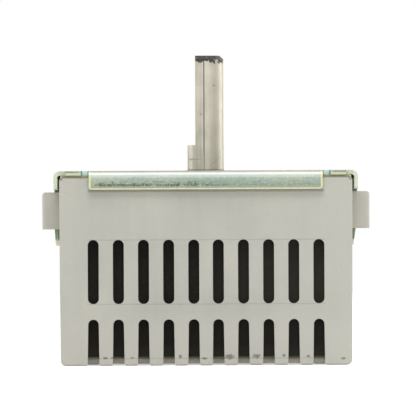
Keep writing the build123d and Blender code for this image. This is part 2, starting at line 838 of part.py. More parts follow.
with BuildPart() as heater_winding:
    core_depth = bimetal_thickness + 2 * sleeve_wall
    core_height = bimetal_height + 2 * sleeve_wall
    wound_depth = core_depth + 2 * ribbon_thickness
    wound_height = core_height + 2 * ribbon_thickness
    wound_top_z = level_z + wound_height / 2
    wound_length = ribbon_pitch * ribbon_turns + ribbon_width
    wound_start_x = (sleeve_start_x + sleeve_end_x - wound_length) / 2
    for turn in range(ribbon_turns):
        turn_x = wound_start_x + turn * ribbon_pitch
        with BuildSketch(standing(middle_y - wound_depth / 2)):
            with Locations((turn_x + ribbon_width / 2, level_z)):
                Rectangle(ribbon_width, wound_height)
        extrude(amount=-ribbon_thickness)
        with BuildSketch(Plane.XY.offset(wound_top_z)):
            with Locations((turn_x + ribbon_width / 2, middle_y)):
                Rectangle(ribbon_width, wound_depth)
        extrude(amount=-ribbon_thickness)
        # the back run slants on to the start of the next turn
        with BuildSketch(standing(middle_y + core_depth / 2)):
            with BuildLine():
                Polyline(
                    (turn_x, wound_top_z),
                    (turn_x + ribbon_width, wound_top_z),
                    (turn_x + ribbon_pitch + ribbon_width, wound_top_z - wound_height),
                    (turn_x + ribbon_pitch, wound_top_z - wound_height),
                    close=True,
                )
            make_face()
        extrude(amount=-ribbon_thickness)
        with BuildSketch(Plane.XY.offset(wound_top_z - wound_height)):
            with Locations((turn_x + ribbon_pitch + ribbon_width / 2, middle_y)):
                Rectangle(ribbon_width, wound_depth)
        extrude(amount=ribbon_thickness)
heater_winding.part.label = "heater_winding"

# Heater lead: a bare wire from the winding to the top of its terminal
with BuildPart() as heater_lead:
    lead_start_x = wound_start_x + (ribbon_turns - 1) * ribbon_pitch + ribbon_width / 2
    lead_end_x = terminal_x
    lead_rise_z = wound_top_z + lead_rise
    with BuildLine() as lead_path:
        Polyline(
            (lead_start_x, middle_y, wound_top_z),
            (lead_start_x, middle_y, lead_rise_z),
            (lead_end_x, rear_row_y, lead_rise_z),
            (lead_end_x, rear_row_y, post_top_z),
        )
    with BuildSketch(Plane.XY.offset(wound_top_z)):
        with Locations((lead_start_x, middle_y)):
            RegularPolygon(lead_radius, 8)
    sweep(path=lead_path.line, transition=Transition.RIGHT)
heater_lead.part.label = "heater_lead"

# Push button: a ceramic stud that carries the strip's movement to the contact arm
with BuildPart() as push_button:
    with BuildSketch(standing(bimetal_back_y)):
        with Locations((button_x, level_z)):
            Circle(button_radius)
    extrude(amount=bimetal_back_y - arm_front_y + button_gap)
push_button.part.label = "push_button"

# Cycling contact arm, riveted to the post of the first line terminal
arm_start_x = -terminal_x - arm_overhang - rivet_head_radius
arm_end_x = terminal_x + contact_radius + contact_tip_margin
with BuildPart() as contact_arm:
    with BuildSketch(standing(arm_front_y)) as arm_blank:
        with Locations(((arm_start_x + arm_end_x) / 2, level_z)):
            RectangleRounded(arm_end_x - arm_start_x, arm_height, arm_corner_radius)
        with Locations([(x, level_z) for x in root_rivet_columns]):
            Circle(rivet_radius + arm_gap, mode=Mode.SUBTRACT)
        with Locations((terminal_x, level_z)):
            Circle(contact_shank_radius + rivet_clearance, mode=Mode.SUBTRACT)
    extrude(amount=-arm_thickness)
contact_arm.part.label = "contact_arm"

with BuildPart() as arm_rivets:
    for column in root_rivet_columns:
        add_rivet(
            column,
            level_z,
            arm_front_y - arm_gap,
            arm_post_back_y,
            rivet_head_radius,
            rivet_head_height,
            rivet_head_height,
            rivet_radius,
        )
arm_rivets.part.label = "arm_rivets"

with BuildPart() as cycling_contact:
    add_rivet(
        terminal_x,
        level_z,
        arm_front_y,
        arm_back_y,
        contact_radius,
        contact_height,
        contact_tail_height,
        contact_shank_radius,
    )
cycling_contact.part.label = "cycling_contact"

# Line blade: a forked leaf that stands off its contacts while the cam lobe lifts it
blade_plane = Plane(
    origin=(blade_bend_x, front_post_front_y, 0),
    x_dir=(math.cos(math.radians(blade_lift_angle)), -math.sin(math.radians(blade_lift_angle)), 0),
    z_dir=(-math.sin(math.radians(blade_lift_angle)), -math.cos(math.radians(blade_lift_angle)), 0),
)
stretch = 1 / math.cos(math.radians(blade_lift_angle))
finger_z = (blade_height + blade_slit_width) / 4
with BuildPart() as line_blade:
    root_start_x = -terminal_x - terminal_width / 2
    with BuildSketch(standing(front_post_front_y - blade_thickness)):
        with Locations(((root_start_x + blade_bend_x) / 2, level_z)):
            Rectangle(blade_bend_x - root_start_x, blade_height)
        with Locations([(x, level_z) for x in root_rivet_columns]):
            Circle(rivet_radius + rivet_clearance, mode=Mode.SUBTRACT)
    extrude(amount=-blade_thickness)
    with BuildSketch(blade_plane):
        free_length = (blade_tip_x - blade_bend_x) * stretch
        with Locations((free_length / 2, level_z)):
            Rectangle(free_length, blade_height)
        slit_start = (blade_slit_start_x - blade_bend_x) * stretch
        with Locations(((slit_start + free_length) / 2, level_z)):
            Rectangle(free_length - slit_start, blade_slit_width, mode=Mode.SUBTRACT)
        pilot_end = (pilot_finger_end_x - blade_bend_x) * stretch
        with Locations(((pilot_end + free_length) / 2, level_z - blade_height / 2)):
            Rectangle(free_length - pilot_end, blade_height, mode=Mode.SUBTRACT)
        with Locations(
            ((terminal_x - blade_bend_x) * stretch, level_z + finger_z),
            ((pilot_x - blade_bend_x) * stretch, level_z - finger_z),
        ):
            Circle(contact_shank_radius + rivet_clearance, mode=Mode.SUBTRACT)
        with Locations((-blade_bend_x * stretch, level_z)):
            Circle(pusher_radius + rivet_clearance, mode=Mode.SUBTRACT)
    extrude(amount=blade_thickness)
line_blade.part.label = "line_blade"

with BuildPart() as line_contacts:
    for x, z in ((terminal_x, level_z + finger_z), (pilot_x, level_z - finger_z)):
        seat = blade_plane.from_local_coords(((x - blade_bend_x) * stretch, z, 0))
        facing = Plane(origin=seat, x_dir=blade_plane.x_dir, z_dir=blade_plane.z_dir)
        with BuildSketch(facing):
            Circle(contact_shank_radius)
        extrude(amount=blade_thickness + contact_tail_height)
        with BuildSketch(facing):
            Circle(line_contact_radius)
        extrude(amount=-contact_height)
line_contacts.part.label = "line_contacts"

# Ceramic pusher in the blade: its nose rides on the switch lobe
with BuildPart() as line_pusher:
    pusher_plane = Plane(
        origin=blade_plane.from_local_coords((-blade_bend_x * stretch, level_z, 0)),
        x_dir=blade_plane.x_dir,
        z_dir=blade_plane.z_dir,
    )
    nose_y = -lobe_radius - pusher_gap - pusher_radius * blade_slope
    pusher_reach = (nose_y - pusher_plane.origin.Y) * math.cos(math.radians(blade_lift_angle))
    with BuildSketch(pusher_plane):
        Circle(pusher_radius)
    extrude(amount=blade_thickness + contact_tail_height)
    with BuildSketch(pusher_plane):
        Circle(pusher_radius)
    extrude(amount=-pusher_reach)
    with BuildSketch(pusher_plane):
        Circle(pusher_collar_radius)
    extrude(amount=-pusher_collar_height)
line_pusher.part.label = "line_pusher"

with BuildPart() as line_rivets:
    for column in root_rivet_columns:
        add_rivet(
            column,
            level_z,
            front_post_front_y - blade_thickness,
            front_post_back_y,
            rivet_head_radius,
            rivet_head_height,
            rivet_head_height,
            rivet_radius,
        )
line_rivets.part.label = "line_rivets"

# Fixed contacts on the posts of the two heater terminals and the pilot terminal
with BuildPart() as fixed_contacts:
    add_rivet(
        terminal_x,
        level_z,
        rear_post_front_y,
        rear_post_back_y,
        contact_radius,
        contact_tail_height,
        contact_height,
        contact_shank_radius,
    )
    for x, z in ((terminal_x, level_z + finger_z), (pilot_x, level_z - finger_z)):
        add_rivet(
            x,
            z,
            front_post_front_y,
            front_post_back_y,
            line_contact_radius,
            contact_height,
            contact_tail_height,
            contact_shank_radius,
        )
fixed_contacts.part.label = "fixed_contacts"

# Terminals: stamped posts with flat tabs below the floor
with BuildPart() as terminal_line_1:
    with BuildSketch(standing(arm_post_front_y)):
        with Locations((-terminal_x, (floor_top_z + post_top_z) / 2)):
            Rectangle(terminal_width, post_top_z - floor_top_z)
        with Locations([(x, level_z) for x in root_rivet_columns]):
            Circle(rivet_radius + rivet_clearance, mode=Mode.SUBTRACT)
    extrude(amount=-terminal_thickness)
    with BuildSketch(Plane.XY.offset(floor_top_z)):
        foot_front = rear_post_front_y
        with Locations((-terminal_x, (foot_front + arm_post_back_y) / 2)):
            Rectangle(terminal_width, arm_post_back_y - foot_front)
    extrude(amount=terminal_thickness)
    with BuildSketch(standing(rear_post_front_y)):
        tab_outline(-terminal_x, floor_top_z)
    extrude(amount=-terminal_thickness)
terminal_line_1.part.label = "terminal_line_1"

with BuildPart() as terminal_heater_1:
    with BuildSketch(standing(rear_post_front_y)):
        terminal_outline(terminal_x, [], 0)
        with Locations((terminal_x, level_z)):
            Circle(contact_shank_radius + rivet_clearance, mode=Mode.SUBTRACT)
        tab_outline(terminal_x, floor_top_z)
    extrude(amount=-terminal_thickness)
terminal_heater_1.part.label = "terminal_heater_1"

with BuildPart() as terminal_line_2:
    with BuildSketch(standing(front_post_front_y)):
        terminal_outline(-terminal_x, root_rivet_columns, rivet_radius + rivet_clearance)
        tab_outline(-terminal_x, floor_top_z)
    extrude(amount=-terminal_thickness)
terminal_line_2.part.label = "terminal_line_2"

with BuildPart() as terminal_heater_2:
    with BuildSketch(standing(front_post_front_y)):
        terminal_outline(terminal_x, [], 0)
        with Locations((terminal_x, level_z + finger_z)):
            Circle(contact_shank_radius + rivet_clearance, mode=Mode.SUBTRACT)
        tab_outline(terminal_x, floor_top_z)
    extrude(amount=-terminal_thickness)
terminal_heater_2.part.label = "terminal_heater_2"

with BuildPart() as terminal_pilot:
    with BuildSketch(standing(front_post_front_y)):
        terminal_outline(pilot_x, [], 0)
        with Locations((pilot_x, level_z - finger_z)):
            Circle(contact_shank_radius + rivet_clearance, mode=Mode.SUBTRACT)
        tab_outline(pilot_x, floor_top_z)
    extrude(amount=-terminal_thickness)
terminal_pilot.part.label = "terminal_pilot"

# Base: a dark moulded tub that stands on the ledge, with a well below round each terminal tab
peg_places = [
    (side_x * (block_half_x - peg_inset), row)
    for side_x in (-1, 1)
    for row in (front_row_y + well_depth / 2 + peg_inset, rear_row_y - well_depth / 2 - peg_inset)
]
with BuildPart() as mechanism_base:
    with BuildSketch(Plane.XY.offset(rim_z)):
        RectangleRounded(2 * base_half_x, 2 * base_half_y, base_corner_radius)
    extrude(amount=ledge_top_z - rim_z)
    waist_half_x = block_half_x - base_waist
    waist_half_y = block_half_y - base_waist
    with BuildSketch(Plane.XY.offset(ledge_top_z)):
        RectangleRounded(2 * waist_half_x, 2 * waist_half_y, base_corner_radius)
    extrude(amount=base_flare_z - ledge_top_z)
    with BuildSketch(Plane.XY.offset(base_flare_z)):
        RectangleRounded(2 * block_half_x, 2 * block_half_y, base_corner_radius)
    extrude(amount=card_top_z - base_flare_z)
    with BuildSketch(Plane.XY.offset(rim_z)):
        RectangleRounded(2 * chamber_half_x, 2 * chamber_half_y, chamber_corner_radius)
    extrude(amount=floor_top_z - rim_z, mode=Mode.SUBTRACT)
    # bearing boss, pivot boss and the peg for the return spring
    with BuildSketch(Plane.XY.offset(floor_top_z)):
        Circle(bearing_boss_radius)
        with Locations((pivot_x, pivot_y)):
            Circle(pivot_boss_radius)
    extrude(amount=boss_height)
    with BuildSketch(standing(chamber_half_y - spring_peg_length)):
        with Locations((spring_x, lever_level_z)):
            Circle(spring_peg_radius)
    extrude(amount=-spring_peg_length)
    with BuildSketch(Plane.XY.offset(bearing_bottom_z)):
        Circle(foot_journal_radius + bearing_clearance)
        with Locations((pivot_x, pivot_y)):
            Circle(pivot_pin_radius + rivet_clearance)
    extrude(amount=bearing_depth, mode=Mode.SUBTRACT)
    # wells from below, and the slots that the terminals are pushed through
    with BuildSketch(Plane.XY.offset(card_top_z)):
        with Locations(*terminal_places):
            Rectangle(well_width, well_depth)
    extrude(amount=well_top_z - card_top_z, mode=Mode.SUBTRACT)
    with BuildSketch(Plane.XY.offset(floor_top_z)):
        with Locations(*terminal_places):
            Rectangle(
                terminal_width + 2 * terminal_slot_clearance,
                terminal_thickness + 2 * terminal_slot_clearance,
            )
    extrude(amount=well_top_z - floor_top_z, mode=Mode.SUBTRACT)
    with BuildSketch(Plane.XY.offset(card_top_z)):
        with Locations(*peg_places):
            Circle(peg_radius)
    extrude(amount=-card_thickness)
mechanism_base.part.label = "mechanism_base"

# Card under the base: pressed board, held on four moulded pegs
with BuildPart() as base_card:
    with BuildSketch(Plane.XY.offset(card_top_z)):
        RectangleRounded(
            2 * (block_half_x - card_inset), 2 * (block_half_y - card_inset), base_corner_radius
        )
        with Locations(*terminal_places):
            Rectangle(well_width, well_depth, mode=Mode.SUBTRACT)
        with Locations(*peg_places):
            Circle(peg_radius + peg_clearance, mode=Mode.SUBTRACT)
    extrude(amount=-card_thickness)
base_card.part.label = "base_card"

os.makedirs("parts", exist_ok=True)
for piece in (
    housing,
    mounting_plate,
    insulating_sheet,
    shaft,
    friction_washer,
    cam,
    lever_pivot_pin,
    pivot_clip,
    control_lever,
    calibration_screw,
    cam_follower,
    lever_spring,
    bimetal_strip,
    bimetal_rivets,
    heater_sleeve,
    heater_winding,
    heater_lead,
    push_button,
    contact_arm,
    arm_rivets,
    cycling_contact,
    line_blade,
    line_contacts,
    line_pusher,
    line_rivets,
    fixed_contacts,
    terminal_line_1,
    terminal_heater_1,
    terminal_line_2,
    terminal_heater_2,
    terminal_pilot,
    mechanism_base,
    base_card,
):
    export_step(piece.part, f"parts/{piece.part.label}.step")
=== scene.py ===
import math

import bmesh
import bpy
from mathutils import Matrix, Vector


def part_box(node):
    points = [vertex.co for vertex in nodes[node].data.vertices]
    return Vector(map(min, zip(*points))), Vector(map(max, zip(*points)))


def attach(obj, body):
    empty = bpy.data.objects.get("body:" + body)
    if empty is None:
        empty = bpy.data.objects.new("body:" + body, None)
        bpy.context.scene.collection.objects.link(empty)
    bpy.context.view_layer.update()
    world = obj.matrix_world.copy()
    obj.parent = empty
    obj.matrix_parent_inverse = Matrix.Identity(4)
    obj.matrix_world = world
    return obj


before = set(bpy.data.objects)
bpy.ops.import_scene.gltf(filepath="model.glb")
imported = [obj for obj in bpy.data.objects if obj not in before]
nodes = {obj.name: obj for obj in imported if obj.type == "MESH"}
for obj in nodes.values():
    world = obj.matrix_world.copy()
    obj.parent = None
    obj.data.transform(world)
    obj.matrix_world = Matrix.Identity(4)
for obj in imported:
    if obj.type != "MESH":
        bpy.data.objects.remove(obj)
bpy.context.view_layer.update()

# Housing. On the real switch it is one piece of light grey mineral-filled plastic.
# It is injection moulded as a sleeve, with vents, a comb skirt and a loop on each end.
# The tool leaves a fine witness line level with the ends of the vents.
millimetres_in_a_metre = 1000.0


class Amount:
    """A number that varies over a surface, so that a mask is written as an ordinary sum."""

    def __init__(self, finish, socket):
        self.finish = finish
        self.socket = socket

    def __add__(self, other):
        return self.finish.sum("ADD", self, other)

    __radd__ = __add__

    def __sub__(self, other):
        return self.finish.sum("SUBTRACT", self, other)

    def __rsub__(self, other):
        return self.finish.sum("SUBTRACT", other, self)

    def __mul__(self, other):
        return self.finish.sum("MULTIPLY", self, other)

    __rmul__ = __mul__


class Finish:
    """The finish of one piece. Sizes are in millimetres and follow the switch's own frame."""

    def __init__(self, name, **constants):
        self.material = bpy.data.materials.new(name)
        self.material.use_nodes = True
        self.tree = self.material.node_tree
        self.shader = self.tree.nodes["Principled BSDF"]
        for socket, value in constants.items():
            self.shader.inputs[socket.replace("_", " ").title().replace("Ior", "IOR")].default_value = value
        place = self.node("ShaderNodeTexCoord").outputs["Object"]
        scaled = self.node(
            "ShaderNodeVectorMath", {"operation": "SCALE"}, {0: place, "Scale": millimetres_in_a_metre},
        )
        self.millimetres = scaled.outputs[0]
        parts = self.node("ShaderNodeSeparateXYZ", inputs={0: self.millimetres})
        self.x, self.y, self.z = (Amount(self, parts.outputs[i]) for i in range(3))

    def node(self, kind, settings=None, inputs=None):
        """A shader node, with its settings set first and then the values or links of its sockets."""
        made = self.tree.nodes.new(kind)
        for key, value in (settings or {}).items():
            if key == "stops":
                ramp = made.color_ramp
                while len(ramp.elements) < len(value):
                    ramp.elements.new(1.0)
                for stop, (position, colour) in zip(ramp.elements, value):
                    stop.position = position
                    stop.color = colour
            else:
                setattr(made, key, value)
        for key, value in (inputs or {}).items():
            self.fill(made.inputs[key], value)
        return made

    def fill(self, socket, value):
        """Links a socket to what varies, or sets it to what doesn't."""
        if isinstance(value, Amount):
            value = value.socket
        if isinstance(value, bpy.types.NodeSocket):
            self.tree.links.new(value, socket)
        else:
            socket.default_value = value

    def sum(self, operation, first, second):
        """Two amounts or numbers put together by a Math operation."""
        made = self.node("ShaderNodeMath", {"operation": operation}, {0: first, 1: second})
        return Amount(self, made.outputs[0])

    def away(self, value, middle=0.0):
        """How far a value is from the middle, whichever side of it that is."""
        return self.sum("ABSOLUTE", value - middle, 0.0)

    def rise(self, value, low, high):
        """0 below the low value and 1 above the high one, or the other way round if they are swapped."""
        made = self.node(
            "ShaderNodeMapRange",
            {"interpolation_type": "SMOOTHSTEP"},
            {"Value": value, "From Min": low, "From Max": high},
        )
        return Amount(self, made.outputs["Result"])

    def band(self, value, middle, half, soft):
        """1 within half of the middle, fading to 0 over the soft distance on each side."""
        return self.rise(self.away(value, middle), half + soft, half)

    def noise(self, size, stretch=(1, 1, 1), detail=3.0, roughness=0.5, shift=0.0):
        """Cloudy grain of about this size, drawn out by the stretch along each axis."""
        turned = self.node(
            "ShaderNodeMapping",
            inputs={
                "Vector": self.millimetres,
                "Location": (shift, shift, shift),
                "Scale": [1 / (size * share) for share in stretch],
            },
        )
        made = self.node(
            "ShaderNodeTexNoise",
            inputs={"Vector": turned.outputs[0], "Scale": 1.0, "Detail": detail, "Roughness": roughness},
        )
        return Amount(self, made.outputs["Fac"])

    def spot(self, x, z, half_width, half_height, soft=0.35, grain_size=0.26, raggedness=2.4):
        """A smudge round a point on the front, with its edge broken up by grain."""
        reach = self.node(
            "ShaderNodeCombineXYZ",
            inputs={0: (self.x - x) * (1 / half_width), 1: (self.z - z) * (1 / half_height)},
        )
        length = self.node("ShaderNodeVectorMath", {"operation": "LENGTH"}, {0: reach.outputs[0]})
        edge_grain = (self.noise(grain_size, detail=4.0, shift=x) - 0.5) * raggedness
        ragged = Amount(self, length.outputs["Value"]) + edge_grain
        return self.rise(ragged, 1 + soft, 1 - soft)

    def ramp(self, value, *stops):
        """A colour that goes from stop to stop, each a value and its colour."""
        return self.node("ShaderNodeValToRGB", {"stops": stops}, {0: value}).outputs[0]

    def blend(self, share, first, second):
        """The first colour where the share is 0, and the second where it is 1."""
        made = self.node("ShaderNodeMix", {"data_type": "RGBA"}, {0: share, 6: first, 7: second})
        return made.outputs[2]

    def coat(self, colour, *coats):
        """A colour under its coats, each a mask, a strength from 0 to 1 and a colour of its own."""
        for mask, strength, coat_colour in coats:
            colour = self.blend(mask * strength, colour, coat_colour)
        return colour

    def emboss(self, *heights):
        """Relief from (height share, depth in millimetres) pairs, one bump after another."""
        normal = None
        for height, depth in heights:
            distance = depth / millimetres_in_a_metre
            inputs = {"Height": height, "Strength": 1.0, "Distance": distance}
            if normal is not None:
                inputs["Normal"] = normal
            normal = self.node("ShaderNodeBump", inputs=inputs).outputs["Normal"]
        self.feed("Normal", normal)

    def feed(self, socket, value):
        """Gives the shader's socket of this name what varies, or its one value."""
        self.fill(self.shader.inputs[socket], value)

    def dress(self, *names):
        """Puts the finish on the CAD pieces of these names."""
        for name in names:
            slots = nodes[name].data.materials
            for index in range(len(slots)):
                slots[index] = self.material


def tint(red, green, blue):
    """A colour given as it looks on a screen, from 0 to 255, as the renderer's linear colour."""
    shares = [value / 255 for value in (red, green, blue)]
    linear = [s / 12.92 if s <= 0.04045 else ((s + 0.055) / 1.055) ** 2.4 for s in shares]
    return (*linear, 1.0)


grey_plastic = tint(184, 183, 174)
grey_plastic_pale = tint(191, 189, 178)
grey_plastic_deep = tint(178, 177, 169)
comb_painted_light_grey = tint(196, 193, 183)
right_painted_light_grey = tint(194, 193, 183)
loop_painted_light_grey = tint(200, 197, 186)
dark_speck_grey = tint(146, 144, 137)
pale_speck_grey = tint(214, 212, 203)
witness_grey = tint(132, 131, 124)
rim_brown = tint(96, 90, 70)
corner_brown = tint(84, 80, 66)
flange_shadow_grey = tint(110, 108, 98)
shade_under_flange_grey = tint(110, 110, 102)
handling_brown = tint(88, 80, 68)

front_face_depth = 19.6
front_half_width = 19.6
comb_start = -22.0
comb_end = -27.0
rim_shade_level = -1.25
corner_shade_level = -1.6
flange_shadow_level = -3.3
shade_under_flange_level = -3.7
witness_levels = (-11.4, -22.0, -30.95)
handling_marks = (
    # x, z, half width, half height
    (-16.6, -30.9, 0.40, 0.16),
    (-15.6, -30.9, 0.22, 0.14),
    (-12.2, -30.9, 0.30, 0.12),
    (-4.3, -30.7, 0.24, 0.28),
    (-0.3, -31.0, 0.42, 0.18),
    (3.8, -30.75, 0.72, 0.40),
    (8.3, -30.65, 0.60, 0.34),
    (12.8, -30.6, 0.24, 0.22),
    (16.8, -30.7, 0.26, 0.18),
    (22.6, -31.1, 0.35, 0.22),
)

moulding = Finish("grey_moulding_finish", specular_ior_level=0.35)
clouds = moulding.noise(9.0, detail=2.0)
flow = moulding.noise(2.2, stretch=(0.6, 0.6, 6.0), detail=4.0, shift=7.0)
grain = moulding.noise(0.28, detail=5.0, roughness=0.7)
depth = moulding.away(moulding.y)
width = moulding.away(moulding.x)
on_face = moulding.rise(depth, front_face_depth - 0.3, front_face_depth)
# Painted highlight: the front is painted paler in a band near each end, where light catches the rounded
# corners.
painted_corner_highlight = moulding.rise(width, 21.2, 22.6) * moulding.rise(width, 24.4, 23.6) * on_face
witness = 0.0
for witness_level in witness_levels:
    witness = moulding.band(moulding.z, witness_level, 0.05, 0.10) + witness
witness = witness * on_face * moulding.rise(width, front_half_width + 0.2, front_half_width - 0.1)
rim_shade = moulding.rise(moulding.z, rim_shade_level - 0.1, rim_shade_level + 0.1)
corner_shade = moulding.rise(moulding.z, corner_shade_level - 0.15, corner_shade_level + 0.15)
corner_shade = moulding.rise(width, 23.5, 23.8) * corner_shade
# Painted shadow: a thin dark line along the front just under the plate's flange, its edge wavering with the
# flow grain.
flange_shadow = moulding.band(moulding.z + (flow - 0.5) * 0.2, flange_shadow_level, 0.12, 0.25)
flange_shadow = flange_shadow * on_face * moulding.rise(width, front_half_width, front_half_width - 0.3)
# Painted shade: a broad faint darkening of the front below the flange.
shade_under_flange = moulding.band(moulding.z, shade_under_flange_level, 0.3, 0.9) * on_face
shade_under_flange = shade_under_flange * moulding.rise(width, front_half_width + 0.3, front_half_width - 0.3)
dirt = 0.0
for mark in handling_marks:
    dirt = moulding.spot(*mark) + dirt
dirt = dirt * moulding.rise(moulding.y, -19.0, -19.6)

plastic = moulding.ramp(
    clouds * 0.75 + flow * 0.25,
    (0.30, grey_plastic_deep), (0.5, grey_plastic), (0.72, grey_plastic_pale),
)
plastic = moulding.coat(
    plastic,
    (painted_corner_highlight, 0.35, grey_plastic_pale),
    # Painted light: the front is painted paler from the vents down to the comb, as if lit more low down.
    (moulding.rise(moulding.z, comb_start, comb_end), 0.5, comb_painted_light_grey),
    # Painted light: the right half of the housing is painted paler, as if lit more from that side.
    (moulding.rise(moulding.x, 6.0, 21.0), 0.45, right_painted_light_grey),
    # Painted light: the loops on the ends are painted paler, lifting the shade they sit in beside the walls.
    (moulding.rise(width, 24.0, 24.6), 0.6, loop_painted_light_grey),
    (moulding.rise(grain, 0.56, 0.68), 0.16, dark_speck_grey),
    (moulding.rise(grain, 0.42, 0.32), 0.20, pale_speck_grey),
    (witness, 0.24, witness_grey),
    (rim_shade, 0.7, rim_brown),
    (corner_shade, 0.6, corner_brown),
    (flange_shadow, 0.5, flange_shadow_grey),
    (shade_under_flange, 0.10, shade_under_flange_grey),
    (dirt, 0.7, handling_brown),
)
moulding.feed("Base Color", plastic)
moulding.feed("Roughness", 0.50 + flow * 0.12 + grain * 0.08)
moulding.emboss((grain, 0.010), (flow, 0.008), (witness, 0.03))
moulding.dress("housing")

# Base of the mechanism. A dark tub compression moulded in phenolic, which stands on the
# housing's ledge and carries the cam, the levers and the terminals. It shows black through
# the vents, and near its foot it is painted pale grey as light from the table below.
phenolic_deep = tint(30, 28, 25)
phenolic_black = tint(40, 38, 34)
phenolic_waist_light = tint(66, 62, 56)
phenolic_right_light = tint(72, 68, 61)
filler_brown = tint(92, 86, 76)
foot_light_grey = tint(160, 156, 145)
waist_light_start = -22.0
waist_light_end = -24.0
foot_light_start = -30.6
foot_light_end = -31.1
peg_head_level = -31.9

phenolic = Finish("black_phenolic_finish", specular_ior_level=0.12)
mottle = phenolic.noise(2.4, detail=5.0, roughness=0.65)
filler = phenolic.noise(0.22, detail=2.0, shift=3.0)
# Painted light: a mottled pale grey band near the foot of the base, stopping at the level of the peg heads.
foot_light = phenolic.rise(phenolic.z, foot_light_start, foot_light_end) * (0.65 + mottle * 0.35)
foot_light = foot_light * phenolic.rise(phenolic.z, peg_head_level - 0.03, peg_head_level + 0.02)
body_colour = phenolic.coat(
    phenolic.ramp(mottle, (0.3, phenolic_deep), (0.7, phenolic_black)),
    # Painted light: the base is painted paler below its waist, as if lit from below.
    (phenolic.rise(phenolic.z, waist_light_start, waist_light_end), 0.6, phenolic_waist_light),
    # Painted light: the right half of the base is painted paler, as if lit more from that side.
    (phenolic.rise(phenolic.x, -6.0, 14.0), 0.45, phenolic_right_light),
    (phenolic.rise(filler, 0.62, 0.74), 0.25, filler_brown),
    (foot_light, 1.0, foot_light_grey),
)
phenolic.feed("Base Color", body_colour)
phenolic.feed("Roughness", 0.55 + mottle * 0.22)
phenolic.emboss((mottle, 0.02), (filler, 0.01))
phenolic.dress("mechanism_base")

# Heads of the four pegs under the base. The card is pushed over the pegs, and each end is then
# swaged into a low head with a dimple from the hot tool.
peg_columns = (-0.0189, 0.0189)
peg_rows = (-0.0074, 0.0086)
card_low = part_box("base_card")[0][2]
head_profile = (
    # radius, height over the card's lower face
    (0.0, 0.00005),
    (0.0013, 0.00005),
    (0.00125, -0.00012),
    (0.0008, -0.00022),
    (0.0, -0.00016),
)
head_steps = 28
weld_distance = 0.000001


def piece_of(shape, name):
    """The object that a finished bmesh becomes, which stands at the origin."""
    data = bpy.data.meshes.new(name)
    shape.to_mesh(data)
    shape.free()
    piece = bpy.data.objects.new(name, data)
    bpy.context.scene.collection.objects.link(piece)
    return piece


heads = bmesh.new()
for column in peg_columns:
    for row in peg_rows:
        rim = [heads.verts.new((column + radius, row, card_low + height)) for radius, height in head_profile]
        outline = [heads.edges.new(pair) for pair in zip(rim, rim[1:])]
        bmesh.ops.spin(
            heads, geom=rim + outline, cent=(column, row, 0), axis=(0, 0, 1),
            angle=math.tau, steps=head_steps, use_merge=True, use_duplicate=False,
        )
bmesh.ops.remove_doubles(heads, verts=heads.verts, dist=weld_distance)
bmesh.ops.recalc_face_normals(heads, faces=heads.faces)
peg_heads = piece_of(heads, "peg_heads")
peg_heads.data.materials.append(phenolic.material)
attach(peg_heads, "case")

# Card under the base. It is pressed fibre board, punched with a window for each well and held
# on four moulded pegs. It has gone brownish grey, and painted light makes it paler towards the right end.
card_deep = tint(198, 193, 176)
card_pale = tint(218, 213, 196)
card_right_light = tint(230, 225, 208)
card_stain = tint(168, 156, 132)

board = Finish("pressed_board_finish", specular_ior_level=0.2)
fibre = board.noise(0.35, stretch=(6.0, 1.0, 0.5), detail=5.0, roughness=0.7)
cross_fibre = board.noise(0.3, stretch=(1.0, 6.0, 0.5), detail=4.0, shift=5.0)
stain = board.noise(6.0, detail=3.0, shift=9.0)
board_colour = board.coat(
    board.ramp(fibre * 0.5 + cross_fibre * 0.5, (0.36, card_deep), (0.64, card_pale)),
    # Painted light: the card is painted paler towards the right end.
    (board.rise(board.x, 4.0, 20.0), 0.6, card_right_light),
    (board.rise(stain, 0.54, 0.70), 0.3, card_stain),
)
board.feed("Base Color", board_colour)
board.feed("Roughness", 0.82 + fibre * 0.12)
board.emboss((fibre, 0.03), (cross_fibre, 0.02))
board.dress("base_card")

# Sheet under the mounting plate. It is vulcanised fibre, an oily olive brown, punched to clear the
# shaft and the screw collars, and clamped on the rim of the housing.
sheet_brown = tint(150, 140, 98)
sheet_olive = tint(176, 166, 124)

fishpaper = Finish("brown_fibre_sheet_finish", specular_ior_level=0.25)
pressed = fishpaper.noise(0.4, stretch=(5.0, 1.0, 0.5), detail=5.0, roughness=0.7)
wiped = fishpaper.noise(5.0, detail=3.0, shift=2.0)
sheet_colour = fishpaper.ramp(pressed * 0.6 + wiped * 0.4, (0.36, sheet_brown), (0.64, sheet_olive))
fishpaper.feed("Base Color", sheet_colour)
fishpaper.feed("Roughness", 0.66 + pressed * 0.2)
fishpaper.emboss((pressed, 0.02))
fishpaper.dress("insulating_sheet")

# Terminals. Five tabs of 0.8 mm steel strip, stamped, tin plated and pushed through the base.
# The plating has gone dull, with fine drawn lines along the strip and a brownish tarnish.
# The pivot pin, its clip and the calibration screw are plated alike.
tin_bright = tint(184, 180, 166)
tin_tarnished = tint(168, 161, 143)

tin = Finish("plated_steel_finish", metallic=0.92)
drawn = tin.noise(0.10, stretch=(1.0, 1.0, 40.0), detail=3.0)
tarnish = tin.noise(1.6, detail=5.0, roughness=0.6, shift=2.0)
tin.feed("Base Color", tin.ramp(tarnish, (0.35, tin_bright), (0.62, tin_tarnished)))
tin.feed("Roughness", 0.30 + drawn * 0.14 + tarnish * 0.10)
tin.emboss((drawn, 0.004), (tarnish, 0.004))
tin.dress(
    "terminal_line_1", "terminal_heater_1", "terminal_line_2", "terminal_heater_2",
    "terminal_pilot", "lever_pivot_pin", "pivot_clip", "calibration_screw",
)

# Spring leaves. The contact arm and the line blade are copper alloy strip, rolled and stamped.
# They have a warm brown bloom from years of heat.
copper_bright = tint(184, 136, 95)
copper_bloom = tint(158, 109, 75)

